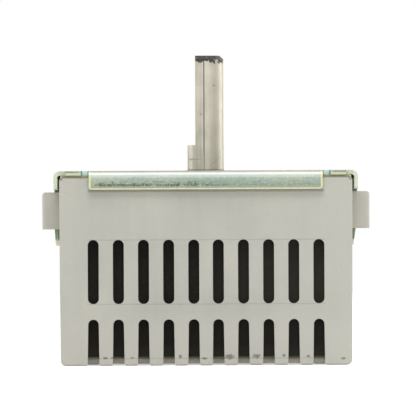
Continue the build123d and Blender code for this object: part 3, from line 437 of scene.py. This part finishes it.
copper = Finish("spring_copper_finish", metallic=0.95)
rolled = copper.noise(0.12, stretch=(40.0, 1.0, 1.0), detail=3.0)
bloom = copper.noise(3.5, detail=4.0, shift=4.0)
copper.feed("Base Color", copper.ramp(bloom, (0.35, copper_bright), (0.65, copper_bloom)))
copper.feed("Roughness", 0.28 + rolled * 0.16 + bloom * 0.08)
copper.emboss((rolled, 0.004), (bloom, 0.003))
copper.dress("contact_arm", "line_blade")

# Contacts. Silver alloy rivets, headed over in the arm, the blade and the posts.
# Their faces are pitted and greyed by switching.
silver_white = tint(212, 210, 204)
silver_greyed = tint(128, 122, 112)

silver = Finish("silver_contact_finish", metallic=1.0)
pits = silver.noise(0.16, detail=5.0, roughness=0.7)
sulphide = silver.noise(0.9, detail=3.0, shift=6.0)
silver.feed("Base Color", silver.ramp(sulphide, (0.38, silver_white), (0.64, silver_greyed)))
silver.feed("Roughness", 0.30 + pits * 0.30)
silver.emboss((pits, 0.02))
silver.dress("fixed_contacts", "line_contacts", "cycling_contact")

# Rivets of the leaves and of the bimetal. They are turned from brass rod, and upset cold at
# both ends, which leaves fine hammer marks.
brass_yellow = tint(204, 172, 104)
brass_dull = tint(150, 118, 66)

brass = Finish("brass_finish", metallic=0.95)
hammered = brass.noise(0.4, detail=3.0)
dulled = brass.noise(1.1, detail=4.0, shift=8.0)
brass.feed("Base Color", brass.ramp(dulled, (0.36, brass_yellow), (0.66, brass_dull)))
brass.feed("Roughness", 0.30 + dulled * 0.2)
brass.emboss((hammered, 0.012))
brass.dress("arm_rivets", "bimetal_rivets", "line_rivets")

# Shaft. A zinc die casting with a flat for the knob. The die's joint leaves a fine line down the
# front and the back, and the tip has been blackened. Knobs have scratched it low down.
zinc_pale = tint(201, 196, 183)
zinc_middle = tint(189, 183, 169)
zinc_deep = tint(174, 168, 154)
zinc_right_shade = tint(158, 152, 138)
chill_grey = tint(140, 134, 120)
joint_line_grey = tint(86, 100, 100)
tip_black = tint(32, 32, 30)
scratch_brown = tint(112, 104, 82)
foot_shade_brown = tint(84, 80, 70)
joint_line_x = -0.25
joint_line_half = 0.07
tip_level = 19.2
blackened_drop = 1.0
foot_shade_low = 0.12
foot_shade_high = 0.40
scratches = (
    # x, z, half length, half height, slope
    (-1.95, 1.9, 0.80, 0.05, 0.0),
    (1.60, 1.55, 0.60, 0.06, 0.95),
    (-0.75, 9.40, 0.12, 0.10, 0.0),
    (1.38, 14.2, 0.10, 0.14, 0.0),
)

casting = Finish("cast_zinc_finish")
streaks = casting.noise(0.38, stretch=(1.0, 1.0, 22.0), detail=4.0, roughness=0.6)
casting_clouds = casting.noise(2.6, detail=4.0, shift=2.0)
chill = casting.noise(0.20, detail=4.0, roughness=0.7, shift=11.0)
joint_wander = casting.x + (casting_clouds - 0.5) * 0.06
joint_line = casting.band(joint_wander, joint_line_x, joint_line_half, 0.07)
joint_line = joint_line * (casting.rise(casting.z, 1.0, 5.0) * 0.45 + 0.55)
jagged = casting.z + (casting.noise(0.9, detail=3.0, roughness=0.6, shift=1.0) - 0.5) * 3.4
blackened_level = tip_level - blackened_drop
blackened = casting.rise(jagged, blackened_level - 0.08, blackened_level + 0.08)
chips = casting.rise(casting.noise(0.36, detail=4.0, roughness=0.6, shift=7.0), 0.61, 0.65)
blackened = blackened * (1.0 - chips * 0.75)
rubbed = 0.0
for x, z, half_length, half_height, slope in scratches:
    across = casting.z - (casting.x - x) * slope
    scratch = casting.band(across, z, half_height, 0.05) * casting.band(casting.x, x, half_length, 0.25)
    rubbed = scratch * casting.rise(casting.y, -0.6, -1.0) + rubbed
rubbed = rubbed * casting.rise(chill, 0.36, 0.56)

zinc = casting.ramp(
    streaks * 0.45 + casting_clouds * 0.55, (0.34, zinc_deep), (0.5, zinc_middle), (0.68, zinc_pale),
)
zinc = casting.coat(
    zinc,
    # Painted shade: the right half of the shaft is painted darker, where the round turns from the light.
    (casting.rise(casting.x, -0.6, 2.2), 0.55, zinc_right_shade),
    (casting.rise(chill, 0.62, 0.74), 0.2, chill_grey),
    (joint_line, 0.85, joint_line_grey),
    (blackened, 0.96, tip_black),
    (rubbed, 0.5, scratch_brown),
    (casting.rise(casting.z, foot_shade_high, foot_shade_low), 0.6, foot_shade_brown),
)
casting.feed("Base Color", zinc)
casting.feed("Metallic", (1.0 - blackened) * 0.8)
casting.feed("Roughness", 0.42 + streaks * 0.12 + blackened * 0.15)
casting.emboss((streaks, 0.015), (chill, 0.008), (1.0 - joint_line, 0.03), (1.0 - rubbed, 0.03))
casting.dress("shaft")

# Friction washer between the shaft's collar and the plate: a waved ring of hardened spring
# steel, blued by its heat treatment. The lever's return spring is wound from wire of the like.
steel_grey = tint(120, 118, 114)
steel_blue = tint(74, 76, 82)

steel = Finish("spring_steel_finish", metallic=0.95)
rub = steel.noise(0.5, detail=4.0)
steel.feed("Base Color", steel.ramp(rub, (0.36, steel_grey), (0.66, steel_blue)))
steel.feed("Roughness", 0.28 + rub * 0.2)
steel.emboss((rub, 0.006))
steel.dress("friction_washer", "lever_spring")

# Cam. It is moulded in brown phenolic, pressed on the shaft's driving end.
# Its track is polished by the follower.
cam_deep = tint(72, 42, 26)
cam_brown = tint(104, 64, 40)

brown = Finish("brown_phenolic_finish", specular_ior_level=0.45)
marble = brown.noise(1.8, detail=5.0, roughness=0.65)
brown.feed("Base Color", brown.ramp(marble, (0.34, cam_deep), (0.66, cam_brown)))
brown.feed("Roughness", 0.30 + marble * 0.2)
brown.emboss((marble, 0.015))
brown.dress("cam")

# Control lever. A zinc plated steel stamping that swings on the pivot pin and carries the
# bimetal; it is bright, with the tool's drag marks along its edges.
lever_white = tint(176, 178, 168)
lever_straw = tint(186, 178, 150)

lever_plating = Finish("lever_plating_finish", metallic=0.92)
drag = lever_plating.noise(0.14, stretch=(1.0, 30.0, 1.0), detail=3.0)
plating_clouds = lever_plating.noise(2.0, detail=4.0)
lever_colour = lever_plating.ramp(plating_clouds, (0.36, lever_white), (0.66, lever_straw))
lever_plating.feed("Base Color", lever_colour)
lever_plating.feed("Roughness", 0.30 + drag * 0.12 + plating_clouds * 0.08)
lever_plating.emboss((drag, 0.005), (plating_clouds, 0.003))
lever_plating.dress("control_lever")

# Ceramic pieces: the follower on the screw, the button on the bimetal and the line blade's
# pusher. They are pressed and fired white steatite, unglazed.
steatite_white = tint(226, 220, 206)
steatite_smoked = tint(198, 188, 168)

ceramic = Finish("ceramic_finish", specular_ior_level=0.4)
fired = ceramic.noise(0.18, detail=4.0, roughness=0.7)
smoke = ceramic.noise(1.2, detail=3.0, shift=3.0)
ceramic.feed("Base Color", ceramic.ramp(smoke, (0.38, steatite_white), (0.66, steatite_smoked)))
ceramic.feed("Roughness", 0.55 + fired * 0.2)
ceramic.emboss((fired, 0.012))
ceramic.dress("cam_follower", "push_button", "line_pusher")

# Bimetal strip. Two alloys rolled together, stamped and tempered by the heater round its middle,
# which has turned it from grey through straw yellow to purple.
strip_grey = tint(170, 168, 160)
strip_straw = tint(176, 140, 84)
strip_purple = tint(106, 88, 108)
hot_half = 5.0
hot_fade = 7.0

straw = Finish("bimetal_finish", metallic=0.95)
strip_lines = straw.noise(0.12, stretch=(40.0, 1.0, 1.0), detail=3.0)
heat = straw.band(straw.x, 0.0, hot_half, hot_fade) + (straw.noise(2.5, detail=3.0) - 0.5) * 0.4
straw.feed("Base Color", straw.ramp(heat, (0.1, strip_grey), (0.5, strip_straw), (0.9, strip_purple)))
straw.feed("Roughness", 0.28 + strip_lines * 0.15)
straw.emboss((strip_lines, 0.004))
straw.dress("bimetal_strip")

# Heater sleeve. A tape of glass yarn woven over mica, slipped on the strip to keep the winding
# off it. The heat has tinged it brown.
glass_white = tint(214, 206, 184)
glass_scorched = tint(168, 146, 108)

glass = Finish("glass_sleeve_finish", specular_ior_level=0.3)
weave = 1.0
for direction in ("X", "Z"):
    yarn = glass.node(
        "ShaderNodeTexWave",
        {"wave_type": "BANDS", "bands_direction": direction},
        {"Vector": glass.millimetres, "Scale": 1.0, "Distortion": 0.6, "Detail": 1.0},
    )
    weave = Amount(glass, yarn.outputs["Fac"]) * weave
scorch = glass.noise(3.0, detail=3.0)
glass.feed("Base Color", glass.ramp(scorch, (0.36, glass_white), (0.68, glass_scorched)))
glass.feed("Roughness", 0.7 + weave * 0.15)
glass.emboss((weave, 0.05))
glass.dress("heater_sleeve")

# Heater winding and its lead. They are one flat ribbon of resistance alloy, wound on the
# sleeve and welded to its terminal, and oxidised dark.
ribbon_grey = tint(96, 92, 88)
ribbon_dark = tint(60, 52, 50)

ribbon = Finish("resistance_ribbon_finish", metallic=0.85)
oxide = ribbon.noise(0.5, detail=5.0, roughness=0.65)
ribbon.feed("Base Color", ribbon.ramp(oxide, (0.36, ribbon_grey), (0.66, ribbon_dark)))
ribbon.feed("Roughness", 0.42 + oxide * 0.2)
ribbon.emboss((oxide, 0.006))
ribbon.dress("heater_winding", "heater_lead")

# Mounting plate. A pressing in 0.75 mm steel strip, zinc plated and passivated. The film is
# yellow, green and pink by turns. The flange is scuffed where it has been handled.
film_green = tint(148, 162, 148)
film_pale = tint(162, 173, 160)
film_yellow = tint(170, 173, 150)
film_pink = tint(168, 160, 152)
film_teal = tint(140, 158, 156)
falloff_shade_green = tint(120, 132, 118)
patch_teal = tint(132, 166, 150)
patch_straw = tint(190, 182, 160)
bend_highlight_white = tint(198, 200, 196)
mottle_blue = tint(108, 126, 132)
scuff_black = tint(52, 58, 60)
tan_brown = tint(160, 146, 122)
lower_edge_highlight_straw = tint(202, 209, 174)
flange_end_highlight_straw = tint(204, 208, 162)
ear_straw = tint(188, 199, 166)
ear_line_brown = tint(128, 104, 78)
notch_blue = tint(194, 224, 226)
notch_line_blue = tint(60, 76, 88)
corner_white = tint(206, 216, 190)
strap_pale_and_highlight = tint(218, 224, 198)
strap_shade = tint(60, 66, 50)
top_reflection_pink = tint(178, 134, 128)
salt_grey = tint(96, 108, 100)
salt_white = tint(236, 240, 224)
tongue_shadow_green = tint(96, 108, 88)
tongue_inside_lit_straw = tint(176, 192, 150)
tongue_tip_highlight_white = tint(232, 232, 200)

# Levels under the plate's upper face.
sheet_low = -0.76
ear_line_level = -0.24
bend_highlight_level = -0.68
mottle_level = -1.7
scuff_level = -2.38
fleck_level = -1.96
tan_level = -2.72
flange_low = -2.95
tongue_level = -9.0
tongue_tip_highlight_level = -11.45

# Distances from the middle of the plate, to the sides and to the front or the back.
flange_half = 19.3
notch_middle = 19.95
notch_inner_line = 19.42
notch_outer_line = 20.5
ear_line_inner = 21.0
ear_line_outer = 23.3
corner_middle = 23.9
tongue_inside_middle = 24.78
scuff_start = -18.1
strap_depth = 14.7
edge_depth = 19.7
top_reflection_depth = 20.2
front_depth = 20.2

plating = Finish("passivated_steel_finish", metallic=0.9)
film = plating.noise(9.0, stretch=(1.0, 1.6, 0.7), detail=2.0, shift=4.0)
film_fine = plating.noise(0.55, detail=5.0, roughness=0.7, shift=1.0)
salt = plating.noise(0.22, stretch=(0.6, 0.6, 2.2), detail=4.0, roughness=0.75, shift=8.0)
mottle_grain = plating.noise(0.5, stretch=(2.2, 1.0, 0.5), detail=4.0, roughness=0.7, shift=3.0)
scuff_clouds = plating.noise(2.2, detail=2.0, shift=6.0)
scuff_grain = plating.noise(0.35, stretch=(2.0, 1.0, 1.0), detail=4.0)
fleck_grain = plating.noise(0.34, stretch=(2.4, 1.0, 0.8), detail=3.0, shift=5.0)
far = plating.away(plating.x)
outward = plating.away(plating.y)
uneven_z = plating.z + (film_fine - 0.5) * 0.25

front = plating.rise(outward, front_depth - 0.2, front_depth + 0.2)
# Painted shade: the front flange is painted darker and greener towards its lower edge, as its reflection
# dims away from the bend.
flange_falloff_shade = plating.rise(plating.z, -0.9, -2.5) * front
# Painted highlight: a pale band along the flange's bend, where it catches the lamp above.
bend_highlight = plating.band(uneven_z, bend_highlight_level, 0.30, 0.32) * front
mottled = plating.rise(mottle_grain, 0.54, 0.66) * plating.band(plating.z, mottle_level, 0.6, 0.4) * front
tan_band = plating.band(uneven_z, tan_level, 0.08, 0.12) * front
# Painted highlight: a bright straw line along the flange's rounded lower edge.
lower_edge_highlight = plating.rise(uneven_z, flange_low + 0.12, flange_low) * front
# Painted highlight: bright straw rims at the ends of the front flange.
flange_end_highlight = plating.rise(far, flange_half - 0.42, flange_half - 0.22) * front

scuff_reach = plating.rise(plating.x, 5.0, -3.0) * 0.7 + 0.3
scuff_reach = scuff_reach * plating.rise(plating.x, scuff_start - 0.4, scuff_start)
scuff_edge = plating.z + (scuff_grain - 0.5) * 0.5
scuff = plating.band(scuff_edge, scuff_level, 0.10, 0.20) * scuff_reach
scuff = scuff * plating.rise(scuff_clouds, 0.38, 0.48)
flecks = plating.rise(fleck_grain, 0.50, 0.58) * plating.band(plating.z, fleck_level, 0.12, 0.25)
scuff = (scuff + flecks * scuff_reach * 0.8) * front
torn_scuff = scuff * plating.rise(salt, 0.44, 0.56)

on_edge = plating.rise(outward, edge_depth - 0.1, edge_depth + 0.1)
on_ear = plating.rise(far, flange_half + 0.02, flange_half + 0.1) * on_edge
lower_ear = on_ear * plating.rise(plating.z, ear_line_level - 0.02, ear_line_level - 0.08)
ear_line = plating.band(plating.z, ear_line_level, 0.05, 0.06) * on_ear
ear_line = ear_line * plating.rise(far, ear_line_inner - 0.1, ear_line_inner + 0.1)
ear_line = ear_line * plating.rise(far, ear_line_outer + 0.1, ear_line_outer - 0.1)

sheared = plating.rise(plating.z, -0.01, -0.05)
sheared = sheared * plating.rise(plating.z, sheet_low - 0.02, sheet_low + 0.02)
notch_patch = plating.band(far, notch_middle, 0.5, 0.1) * sheared
notch_lines = plating.band(far, notch_inner_line, 0.03, 0.06)
notch_lines = (notch_lines + plating.band(far, notch_outer_line, 0.06, 0.08)) * sheared
corner_face = plating.band(far, corner_middle, 0.55, 0.15) * sheared

on_strap = plating.rise(outward, strap_depth - 0.1, strap_depth + 0.1)
# The strap's faces are painted pale straw: the film's own colour, with a painted highlight on the bent
# corner.
strap_face_and_highlight = plating.rise(far, 24.3, 24.6) * on_strap
strap_inside = plating.rise(far, 24.66, 24.5) * plating.rise(far, 24.2, 24.4)
strap_inside = strap_inside * plating.rise(plating.z, -0.8, -1.0) * on_strap
# Painted shadow: the tongue below the loop is painted dark green as the loop's shadow, lifted to a paler
# strip along its inner side.
on_tongue = plating.rise(plating.z, tongue_level + 0.2, tongue_level - 0.2)
# Painted highlight: the tongue's rounded tip is painted bright white.
tongue_tip_highlight = plating.rise(plating.z, tongue_tip_highlight_level + 0.25, tongue_tip_highlight_level - 0.25)
tongue_inside_lit = plating.band(far, tongue_inside_middle, 0.06, 0.12) * on_tongue
# Painted reflection: a thin pink line along the top of the bend, the film's colour at a grazing glance.
top_reflection = plating.rise(plating.z, -0.20, -0.10) * plating.band(outward, top_reflection_depth, 0.12, 0.15)

film_colour = plating.ramp(
    film * 0.45 + film_fine * 0.55,
    (0.34, film_teal), (0.45, film_green), (0.55, film_pale), (0.64, film_yellow), (0.73, film_pink),
)
film_colour = plating.coat(
    film_colour,
    (flange_falloff_shade, 0.5, falloff_shade_green),
    (front * plating.rise(film_fine, 0.50, 0.40), 0.5, patch_teal),
    (front * plating.rise(film_fine, 0.54, 0.64), 0.4, patch_straw),
    (bend_highlight, 0.6, bend_highlight_white),
    (mottled, 0.45, mottle_blue),
    (torn_scuff, 0.68, scuff_black),
    (tan_band, 0.65, tan_brown),
    (lower_edge_highlight, 0.85, lower_edge_highlight_straw),
    (flange_end_highlight, 0.8, flange_end_highlight_straw),
    (lower_ear, 0.6, ear_straw),
    (ear_line, 0.8, ear_line_brown),
    (notch_patch, 0.9, notch_blue),
    (notch_lines, 0.6, notch_line_blue),
    (corner_face, 0.7, corner_white),
    (strap_face_and_highlight, 0.7, strap_pale_and_highlight),
    (strap_inside, 0.85, strap_shade),
    (top_reflection, 0.75, top_reflection_pink),
    (plating.rise(salt, 0.58, 0.70), 0.30, salt_grey),
    (plating.rise(salt, 0.42, 0.32), 0.30, salt_white),
    (on_tongue, 0.75, tongue_shadow_green),
    (tongue_inside_lit, 0.55, tongue_inside_lit_straw),
    (tongue_tip_highlight, 0.75, tongue_tip_highlight_white),
)
plating.feed("Base Color", film_colour)
plating.feed("Roughness", 0.44 + film_fine * 0.16 + scuff * 0.2)
plating.emboss((salt, 0.008), (film_fine, 0.008), (1.0 - torn_scuff, 0.02))
plating.dress("mounting_plate")

# Threads of the plate's two screw collars. The steel is drawn down round each hole and then
# tapped for the two M4 screws that hold the switch to the cooker's panel.
screw_columns = (-0.014, 0.014)
collar_pitch = 0.0007
collar_root = 0.00167
collar_crest = 0.00157
collar_foot = -0.00215
lead_in = 0.0001
ridge_share = 0.42
steps_a_turn = 28


def wind_thread(name, root, crest, pitch, length):
    """A thread as one closed ridge wound up the Z axis from the origin."""
    ridge = bmesh.new()
    half = pitch * ridge_share
    climb = length - 2 * half
    turns = climb / pitch
    steps = round(turns * steps_a_turn)
    corners = [ridge.verts.new(corner) for corner in ((root, 0, -half), (crest, 0, 0), (root, 0, half))]
    bmesh.ops.spin(
        ridge, geom=[ridge.faces.new(corners)], cent=(0, 0, 0), axis=(0, 0, 1),
        dvec=(0, 0, climb / steps), angle=math.tau * turns, steps=steps, use_duplicate=False,
    )
    bmesh.ops.translate(ridge, verts=ridge.verts, vec=(0, 0, half))
    bmesh.ops.recalc_face_normals(ridge, faces=ridge.faces)
    return piece_of(ridge, name)


for number, column in enumerate(screw_columns, 1):
    collar_thread = wind_thread(
        f"screw_thread_{number}", collar_root, collar_crest, collar_pitch, -collar_foot - lead_in,
    )
    collar_thread.data.transform(Matrix.Translation((column, 0, collar_foot)))
    collar_thread.data.materials.append(plating.material)
    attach(collar_thread, "case")

# Thread of the calibration screw. It is rolled on the screw, and runs in the boss of the lever.
# A drop of lacquer locks it once the switch has been set.
screw_low, screw_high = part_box("calibration_screw")
screw_radius = (screw_high[0] - screw_low[0]) / 2
screw_height = (screw_low[2] + screw_high[2]) / 2
screw_pitch = 0.00045
root_sink = 0.00003
crest_rise = 0.00004
slot_depth = 0.0006
thread_back = screw_high[1] - slot_depth
thread_front = 0.0112
screw_thread = wind_thread(
    "calibration_thread", screw_radius - root_sink, screw_radius + crest_rise,
    screw_pitch, thread_back - thread_front,
)
screw_axis = Matrix.Translation((0, thread_back, screw_height))
screw_thread.data.transform(screw_axis @ Matrix.Rotation(math.radians(90), 4, "X"))
screw_thread.data.materials.append(tin.material)
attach(screw_thread, "lever")

# Floor. A plain pale studio table, matt and far wider than the view, that the switch stands on.
# It shows white to the eye, in metal and through glass, and carries only the shadow.
floor_level = -0.0322
floor_half_width = 1.5
table_white = tint(244, 244, 243)
table_glow = (0.55, 0.55, 0.55, 1.0)
no_glow = (0.0, 0.0, 0.0, 1.0)
floor_mesh = bmesh.new()
bmesh.ops.create_grid(floor_mesh, x_segments=1, y_segments=1, size=floor_half_width)
bmesh.ops.translate(floor_mesh, verts=floor_mesh.verts, vec=(0.0, 0.0, floor_level))
studio_floor = piece_of(floor_mesh, "studio_floor")
table = Finish("studio_floor_finish", roughness=0.9, specular_ior_level=0.0)
rays = table.node("ShaderNodeLightPath").outputs
shown = table.sum("MAXIMUM", Amount(table, rays["Is Camera Ray"]), Amount(table, rays["Is Glossy Ray"]))
shown = table.sum("MAXIMUM", shown, Amount(table, rays["Is Transmission Ray"]))
table.feed("Base Color", table_white)
table.feed("Emission Color", table.blend(shown, no_glow, table_glow))
table.feed("Emission Strength", 1.0)
studio_floor.data.materials.append(table.material)

# World. Even white surroundings, like a tent of white cloth round the table: white to the eye
# and in reflections, and a soft fill light on the switch.
fill_strength = 0.58
shown_strength = 1.0
white = (1.0, 1.0, 1.0, 1.0)
world = bpy.data.worlds.new("studio_world")
bpy.context.scene.world = world
world.use_nodes = True
sky = world.node_tree
background = sky.nodes["Background"]
path = sky.nodes.new("ShaderNodeLightPath")
white_share = path.outputs["Is Camera Ray"]
for ray in ("Is Glossy Ray", "Is Transmission Ray"):
    either = sky.nodes.new("ShaderNodeMath")
    either.operation = "MAXIMUM"
    sky.links.new(white_share, either.inputs[0])
    sky.links.new(path.outputs[ray], either.inputs[1])
    white_share = either.outputs[0]
strength = sky.nodes.new("ShaderNodeMapRange")
strength.inputs["To Min"].default_value = fill_strength
strength.inputs["To Max"].default_value = shown_strength
sky.links.new(white_share, strength.inputs["Value"])
sky.links.new(strength.outputs["Result"], background.inputs["Strength"])
background.inputs["Color"].default_value = white

# Lamps. Five soft boxes: a broad one above the front, a low one before it, one on each side
# and one behind. They are weak enough that the pale plastic doesn't clip to white.
lamp_aim = Vector((0.0, 0.0, -0.01))
lamps = (
    # name, place, width, height, watts
    ("key_lamp", (-0.05, -0.55, 0.95), 0.6, 0.6, 5.4),
    ("front_lamp", (0.30, -1.20, 0.10), 0.9, 0.9, 1.8),
    ("right_lamp", (0.85, 0.40, 0.10), 0.3, 0.6, 3.4),
    ("left_lamp", (-0.85, 0.30, 0.10), 0.3, 0.6, 1.8),
    ("back_lamp", (0.30, 0.90, 0.70), 0.6, 0.6, 3.0),
)
for name, place, lamp_width, lamp_height, watts in lamps:
    lamp_data = bpy.data.lights.new(name, "AREA")
    lamp_data.shape = "RECTANGLE"
    lamp_data.size = lamp_width
    lamp_data.size_y = lamp_height
    lamp_data.energy = watts
    lamp = bpy.data.objects.new(name, lamp_data)
    lamp.location = place
    lamp.rotation_euler = (lamp_aim - Vector(place)).to_track_quat("-Z", "Y").to_euler()
    bpy.context.scene.collection.objects.link(lamp)

# Camera. Level with the switch and far off, as the photograph is nearly without perspective,
# and rolled by a quarter of a degree, as the switch stands in it.
camera_distance = 1.8
camera_x = 0.00036
camera_z = -0.0062
camera_roll = math.radians(0.26)
width_at_front_face = 0.06864
front_face_y = 0.0200
sensor_width = 36.0
camera_data = bpy.data.cameras.new("camera")
camera_data.sensor_width = sensor_width
camera_data.lens = sensor_width * (camera_distance - front_face_y) / width_at_front_face
camera_data.clip_start = 0.1
camera_data.clip_end = 10.0
camera = bpy.data.objects.new("camera", camera_data)
facing_front = Matrix.Rotation(math.radians(90.0), 4, "X")
camera.matrix_world = (
    Matrix.Translation((camera_x, -camera_distance, camera_z))
    @ Matrix.Rotation(camera_roll, 4, "Y")
    @ facing_front
)
bpy.context.scene.collection.objects.link(camera)
bpy.context.scene.camera = camera
bpy.context.scene.view_settings.view_transform = "Standard"
